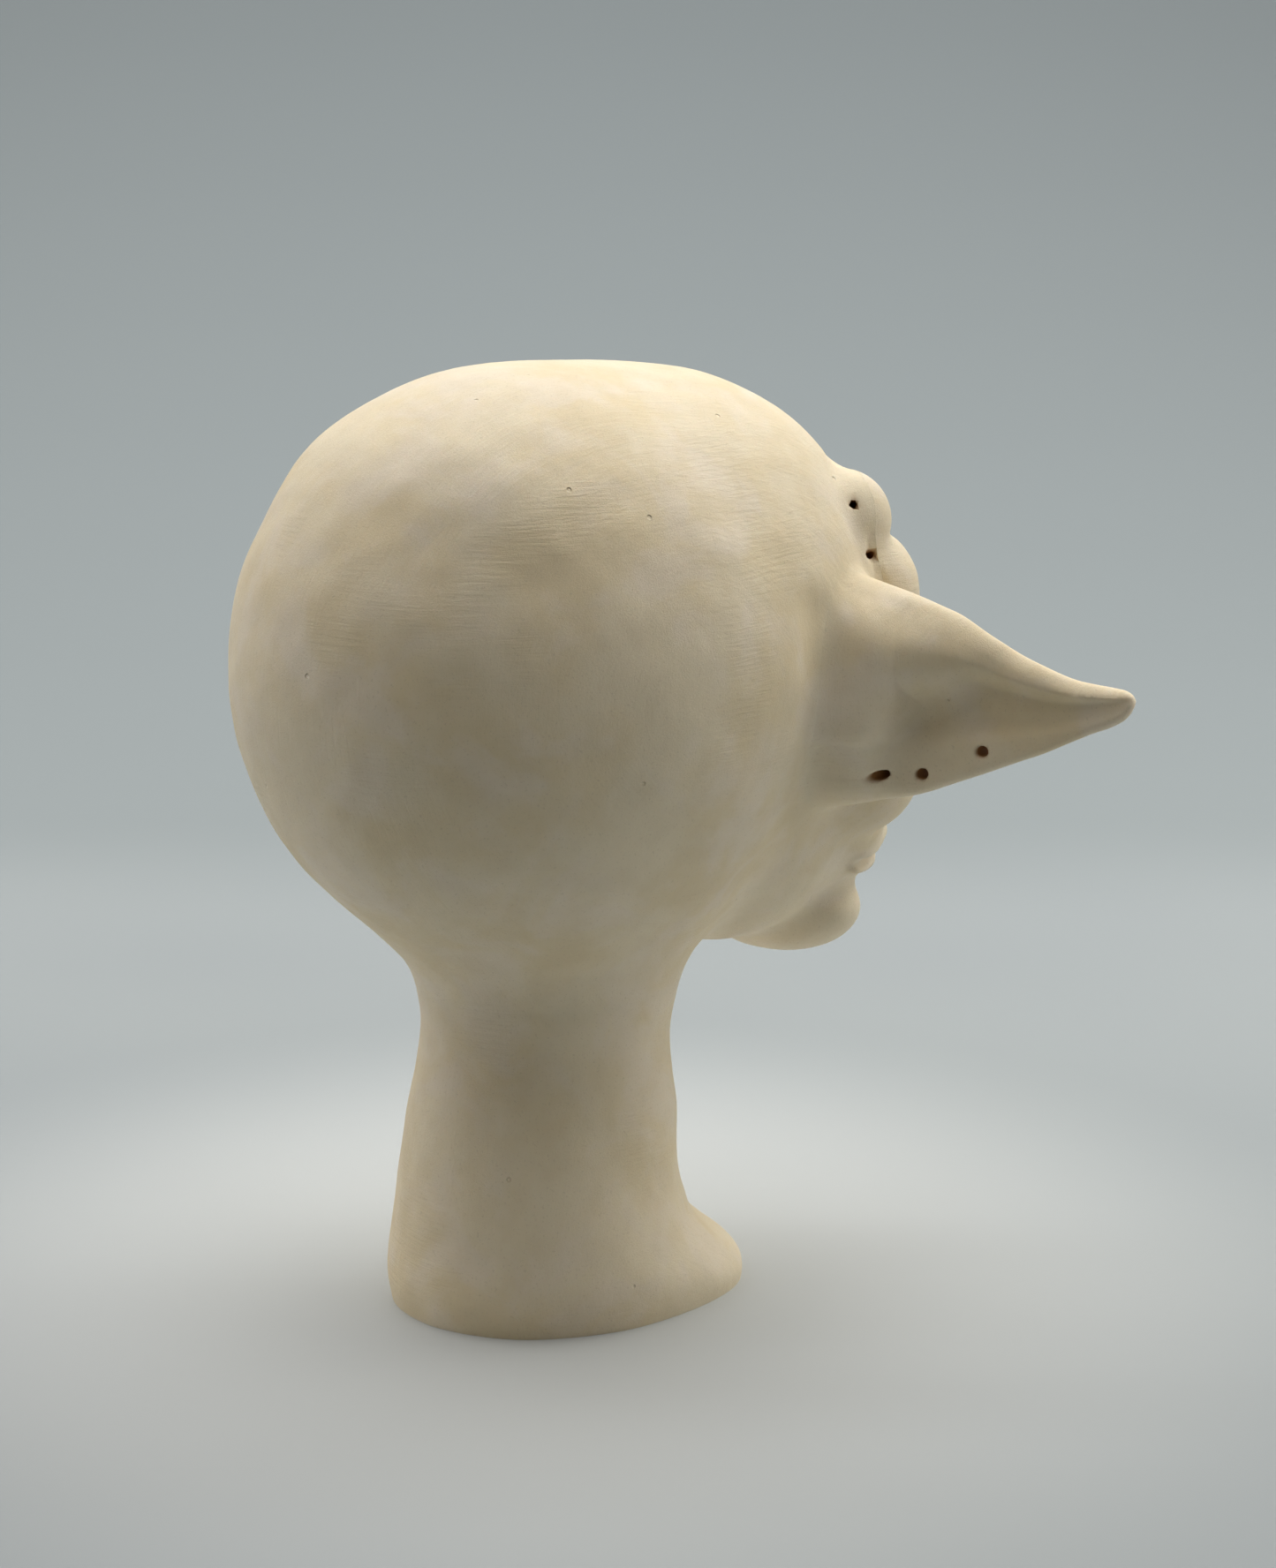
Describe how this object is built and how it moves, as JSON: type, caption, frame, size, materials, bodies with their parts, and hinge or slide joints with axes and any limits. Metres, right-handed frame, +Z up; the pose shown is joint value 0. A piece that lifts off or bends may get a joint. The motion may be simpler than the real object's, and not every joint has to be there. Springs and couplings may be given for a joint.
{
  "type": "creature head bust",
  "caption": "Unpainted sculpted creature head with long pointed ears, free-standing on its own neck that widens to a flat foot.",
  "frame": {"origin": "middle of the flat underside, on the axis of the post inside the neck", "axes": "+Z up, the face looks along -Y, the head's own left is +X"},
  "size_m": [0.1554, 0.1398, 0.1654],
  "materials": {
    "clay": "matt unpainted cream clay with faint brush marks",
    "foam": "expanded foam",
    "beech": "bare beech",
    "steel": "plain wire"
  },
  "bodies": {
    "root": {"skull_shell": "clay", "face_shell": "clay", "ear_left": "clay", "ear_right": "clay", "neck_column": "clay", "eye_left": "clay", "eye_right": "clay", "foam_core": "foam", "neck_post": "beech", "base_disc": "beech", "ear_wire_left_upper": "steel", "ear_wire_left_lower": "steel", "ear_wire_right_upper": "steel", "ear_wire_right_lower": "steel", "face_pin_left": "beech", "face_pin_right": "beech", "face_pin_brow": "beech", "face_pin_chin": "beech"}
  },
  "joints": []
}
